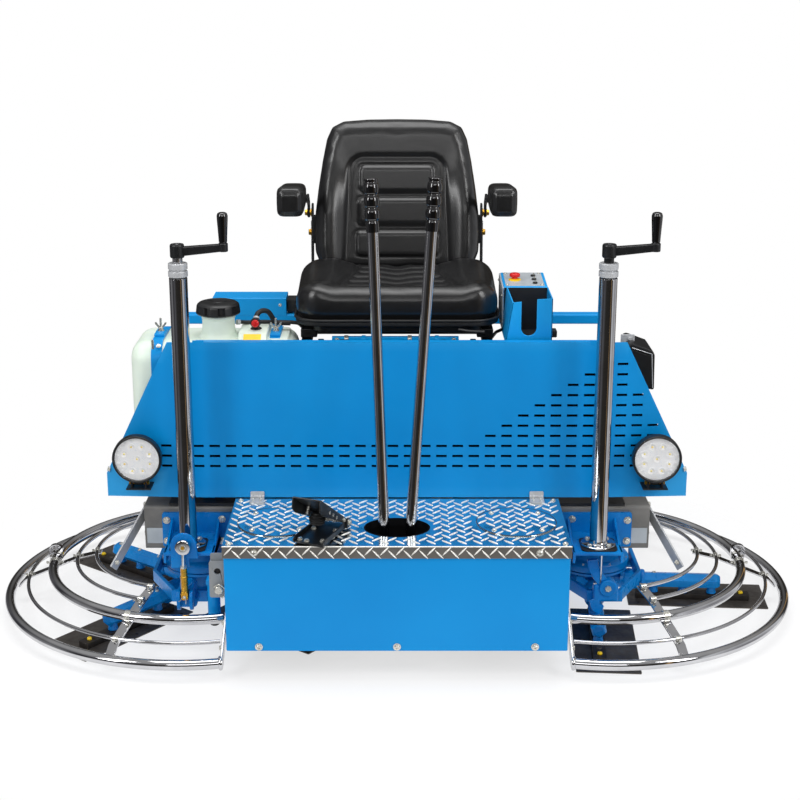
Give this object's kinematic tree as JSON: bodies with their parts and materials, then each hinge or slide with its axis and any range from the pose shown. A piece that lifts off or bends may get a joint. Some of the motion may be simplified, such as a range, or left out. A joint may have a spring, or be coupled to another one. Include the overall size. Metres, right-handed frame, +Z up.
{
  "type": "ride-on power trowel",
  "caption": "Ride-on twin-rotor concrete power trowel with a step box, steering levers, pitch cranks, guard rings, lamps and an operator's seat.",
  "frame": {"origin": "on the floor, midway between the two rotor axes", "axes": "+X along the machine's width to the right of a viewer who faces the step box, -Y towards the step box, +Z up"},
  "size_m": [2.007, 1.011, 1.2031],
  "materials": {
    "blue_paint": "gloss powder coat",
    "grey_paint": "satin",
    "black_paint": "satin",
    "chrome": "polished",
    "blade_steel": "dark rolled steel",
    "tread_plate": "bright tread plate with raised lugs",
    "white_plastic": "translucent moulded tank",
    "black_plastic": "moulded",
    "red_plastic": "gloss",
    "vinyl": "satin vinyl",
    "lamp": "black housing with a clear lens"
  },
  "bodies": {
    "frame": {"front_beam": "grey_paint", "rear_frame": "grey_paint", "step_box": "blue_paint", "deck_plate": "tread_plate", "hood_panel": "blue_paint", "tank": "white_plastic", "tank_cradle": "blue_paint", "upper_frame": "blue_paint", "console": "blue_paint", "engine": "black_paint", "pedal_base": "black_paint", "access_cover_left": "tread_plate", "guard_ring_left": "chrome", "guard_cage_left": "chrome", "post_bracket_left": "blue_paint", "post_left": "chrome", "access_cover_right": "tread_plate", "guard_ring_right": "chrome", "guard_cage_right": "chrome", "post_bracket_right": "blue_paint", "post_right": "chrome"},
    "drive_shaft": {"drive_shaft": "blade_steel"},
    "tank_cap": {"tank_cap": "black_plastic"},
    "stop_button": {"stop_button": "red_plastic"},
    "foot_pedal": {"foot_pedal": "black_paint"},
    "seat": {"seat_pan": "black_paint", "seat_cushion": "vinyl"},
    "backrest": {"backrest": "vinyl"},
    "gearbox_left": {"gearbox_left": "blue_paint"},
    "pitch_yoke_left": {"pitch_yoke_left": "blue_paint"},
    "rotor_left": {"spider_left": "blue_paint"},
    "crank_left": {"crank_left": "black_paint"},
    "crank_knob_left": {"crank_knob_left": "black_plastic"},
    "steering_lever_left": {"steering_lever_left": "chrome"},
    "lamp_left": {"lamp_left": "lamp"},
    "armrest_left": {"armrest_left": "vinyl"},
    "trowel_arm_left_1": {"arm_left_1": "blue_paint", "blade_left_1": "blade_steel"},
    "trowel_arm_left_2": {"arm_left_2": "blue_paint", "blade_left_2": "blade_steel"},
    "trowel_arm_left_3": {"arm_left_3": "blue_paint", "blade_left_3": "blade_steel"},
    "trowel_arm_left_4": {"arm_left_4": "blue_paint", "blade_left_4": "blade_steel"},
    "gearbox_right": {"gearbox_right": "blue_paint"},
    "pitch_yoke_right": {"pitch_yoke_right": "blue_paint"},
    "rotor_right": {"spider_right": "blue_paint"},
    "crank_right": {"crank_right": "black_paint"},
    "crank_knob_right": {"crank_knob_right": "black_plastic"},
    "steering_lever_right": {"steering_lever_right": "chrome"},
    "lamp_right": {"lamp_right": "lamp"},
    "armrest_right": {"armrest_right": "vinyl"},
    "trowel_arm_right_1": {"arm_right_1": "blue_paint", "blade_right_1": "blade_steel"},
    "trowel_arm_right_2": {"arm_right_2": "blue_paint", "blade_right_2": "blade_steel"},
    "trowel_arm_right_3": {"arm_right_3": "blue_paint", "blade_right_3": "blade_steel"},
    "trowel_arm_right_4": {"arm_right_4": "blue_paint", "blade_right_4": "blade_steel"}
  },
  "joints": [
    {"name": "gearbox_left_tilt", "type": "hinge", "parent": "frame", "child": "gearbox_left", "pos_m": [-0.5055, 0, 0.245], "axis": [0, 1, 0], "range_deg": [-1.5, 1.5], "stiffness_Nm_per_rad": 6000},
    {"name": "steering_lever_left_pivot", "type": "hinge", "parent": "frame", "child": "steering_lever_left", "pos_m": [-0.023, -0.392, 0.15], "axis": [1, 0, 0], "range_deg": [-8, 8]},
    {"name": "rotor_left_spin", "type": "hinge", "parent": "gearbox_left", "child": "rotor_left", "pos_m": [-0.5055, 0, 0.05], "axis": [0, 0, 1], "continuous": true},
    {"name": "gearbox_right_tilt", "type": "hinge", "parent": "frame", "child": "gearbox_right", "pos_m": [0.5055, 0, 0.245], "axis": [0, 1, 0], "range_deg": [-1.5, 1.5], "stiffness_Nm_per_rad": 6000},
    {"name": "steering_lever_right_pivot", "type": "hinge", "parent": "frame", "child": "steering_lever_right", "pos_m": [0.0187, -0.392, 0.15], "axis": [1, 0, 0], "range_deg": [-8, 8]},
    {"name": "rotor_right_spin", "type": "hinge", "parent": "gearbox_right", "child": "rotor_right", "pos_m": [0.5055, 0, 0.05], "axis": [0, 0, 1], "continuous": true},
    {"name": "drive_shaft_spin", "type": "hinge", "parent": "frame", "child": "drive_shaft", "pos_m": [0, 0, 0.175], "axis": [1, 0, 0], "continuous": true},
    {"name": "crank_left_turn", "type": "hinge", "parent": "frame", "child": "crank_left", "pos_m": [-0.5, -0.25, 0.95], "axis": [0, 0, 1], "range_deg": [0, 1800]},
    {"name": "crank_knob_left_spin", "type": "hinge", "parent": "crank_left", "child": "crank_knob_left", "pos_m": [-0.395, -0.25, 1], "axis": [0, 0, 1], "continuous": true},
    {"name": "pitch_yoke_left_press", "type": "slide", "parent": "gearbox_left", "child": "pitch_yoke_left", "axis": [0, 0, 1], "range_m": [-0.011, 0]},
    {"name": "arm_left_1_pitch", "type": "hinge", "parent": "rotor_left", "child": "trowel_arm_left_1", "pos_m": [-0.45625, 0.06304, 0.05], "axis": [-0.6157, -0.788, 0], "range_deg": [0, 18]},
    {"name": "arm_left_2_pitch", "type": "hinge", "parent": "rotor_left", "child": "trowel_arm_left_2", "pos_m": [-0.56854, 0.04925, 0.05], "axis": [0.788, -0.6157, 0], "range_deg": [0, 18]},
    {"name": "arm_left_3_pitch", "type": "hinge", "parent": "rotor_left", "child": "trowel_arm_left_3", "pos_m": [-0.55475, -0.06304, 0.05], "axis": [0.6157, 0.788, 0], "range_deg": [0, 18]},
    {"name": "arm_left_4_pitch", "type": "hinge", "parent": "rotor_left", "child": "trowel_arm_left_4", "pos_m": [-0.44246, -0.04925, 0.05], "axis": [-0.788, 0.6157, 0], "range_deg": [0, 18]},
    {"name": "crank_right_turn", "type": "hinge", "parent": "frame", "child": "crank_right", "pos_m": [0.483, -0.25, 0.95], "axis": [0, 0, 1], "range_deg": [0, 1800]},
    {"name": "crank_knob_right_spin", "type": "hinge", "parent": "crank_right", "child": "crank_knob_right", "pos_m": [0.588, -0.25, 1], "axis": [0, 0, 1], "continuous": true},
    {"name": "pitch_yoke_right_press", "type": "slide", "parent": "gearbox_right", "child": "pitch_yoke_right", "axis": [0, 0, 1], "range_m": [-0.011, 0]},
    {"name": "arm_right_1_pitch", "type": "hinge", "parent": "rotor_right", "child": "trowel_arm_right_1", "pos_m": [0.58531, -0.00558, 0.05], "axis": [0.9976, -0.0698, 0], "range_deg": [0, 18]},
    {"name": "arm_right_2_pitch", "type": "hinge", "parent": "rotor_right", "child": "trowel_arm_right_2", "pos_m": [0.51108, 0.07981, 0.05], "axis": [0.0698, 0.9976, 0], "range_deg": [0, 18]},
    {"name": "arm_right_3_pitch", "type": "hinge", "parent": "rotor_right", "child": "trowel_arm_right_3", "pos_m": [0.42569, 0.00558, 0.05], "axis": [-0.9976, 0.0698, 0], "range_deg": [0, 18]},
    {"name": "arm_right_4_pitch", "type": "hinge", "parent": "rotor_right", "child": "trowel_arm_right_4", "pos_m": [0.49992, -0.07981, 0.05], "axis": [-0.0698, -0.9976, 0], "range_deg": [0, 18]},
    {"name": "foot_pedal_press", "type": "hinge", "parent": "frame", "child": "foot_pedal", "pos_m": [-0.14952, -0.36637, 0.35], "axis": [0.9272, -0.3746, 0], "range_deg": [0, 14], "stiffness_Nm_per_rad": 8},
    {"name": "tank_cap_turn", "type": "hinge", "parent": "frame", "child": "tank_cap", "pos_m": [-0.434, -0.06, 0.78], "axis": [0, 0, 1], "range_deg": [0, 90]},
    {"name": "stop_button_press", "type": "slide", "parent": "frame", "child": "stop_button", "axis": [0, 0, -1], "range_m": [0, 0.006], "stiffness_N_per_m": 800},
    {"name": "seat_slide", "type": "slide", "parent": "frame", "child": "seat", "axis": [0, 1, 0], "range_m": [-0.06, 0.06]},
    {"name": "backrest_recline", "type": "hinge", "parent": "seat", "child": "backrest", "pos_m": [0, 0.24, 0.732], "axis": [1, 0, 0], "range_deg": [-15, 5]},
    {"name": "armrest_left_lift", "type": "hinge", "parent": "backrest", "child": "armrest_left", "pos_m": [-0.229, 0.258, 0.962], "axis": [1, 0, 0], "range_deg": [-90, 0]},
    {"name": "armrest_right_lift", "type": "hinge", "parent": "backrest", "child": "armrest_right", "pos_m": [0.229, 0.258, 0.962], "axis": [1, 0, 0], "range_deg": [-90, 0]},
    {"name": "lamp_left_tilt", "type": "hinge", "parent": "frame", "child": "lamp_left", "pos_m": [-0.62, -0.205, 0.384], "axis": [1, 0, 0], "range_deg": [-5, 10]},
    {"name": "lamp_right_tilt", "type": "hinge", "parent": "frame", "child": "lamp_right", "pos_m": [0.62, -0.205, 0.384], "axis": [1, 0, 0], "range_deg": [-5, 10]}
  ],
  "couplings": [
    {"joint": "steering_lever_left_pivot", "follows": "gearbox_left_tilt", "ratio": -5.3333},
    {"joint": "steering_lever_right_pivot", "follows": "gearbox_right_tilt", "ratio": 5.3333},
    {"joint": "rotor_right_spin", "follows": "rotor_left_spin", "ratio": -1},
    {"joint": "drive_shaft_spin", "follows": "rotor_left_spin", "ratio": 20},
    {"joint": "pitch_yoke_left_press", "follows": "crank_left_turn", "m_per_rad": -0.00035014},
    {"joint": "arm_left_1_pitch", "follows": "crank_left_turn", "ratio": 0.01},
    {"joint": "arm_left_2_pitch", "follows": "crank_left_turn", "ratio": 0.01},
    {"joint": "arm_left_3_pitch", "follows": "crank_left_turn", "ratio": 0.01},
    {"joint": "arm_left_4_pitch", "follows": "crank_left_turn", "ratio": 0.01},
    {"joint": "pitch_yoke_right_press", "follows": "crank_right_turn", "m_per_rad": -0.00035014},
    {"joint": "arm_right_1_pitch", "follows": "crank_right_turn", "ratio": 0.01},
    {"joint": "arm_right_2_pitch", "follows": "crank_right_turn", "ratio": 0.01},
    {"joint": "arm_right_3_pitch", "follows": "crank_right_turn", "ratio": 0.01},
    {"joint": "arm_right_4_pitch", "follows": "crank_right_turn", "ratio": 0.01}
  ]
}
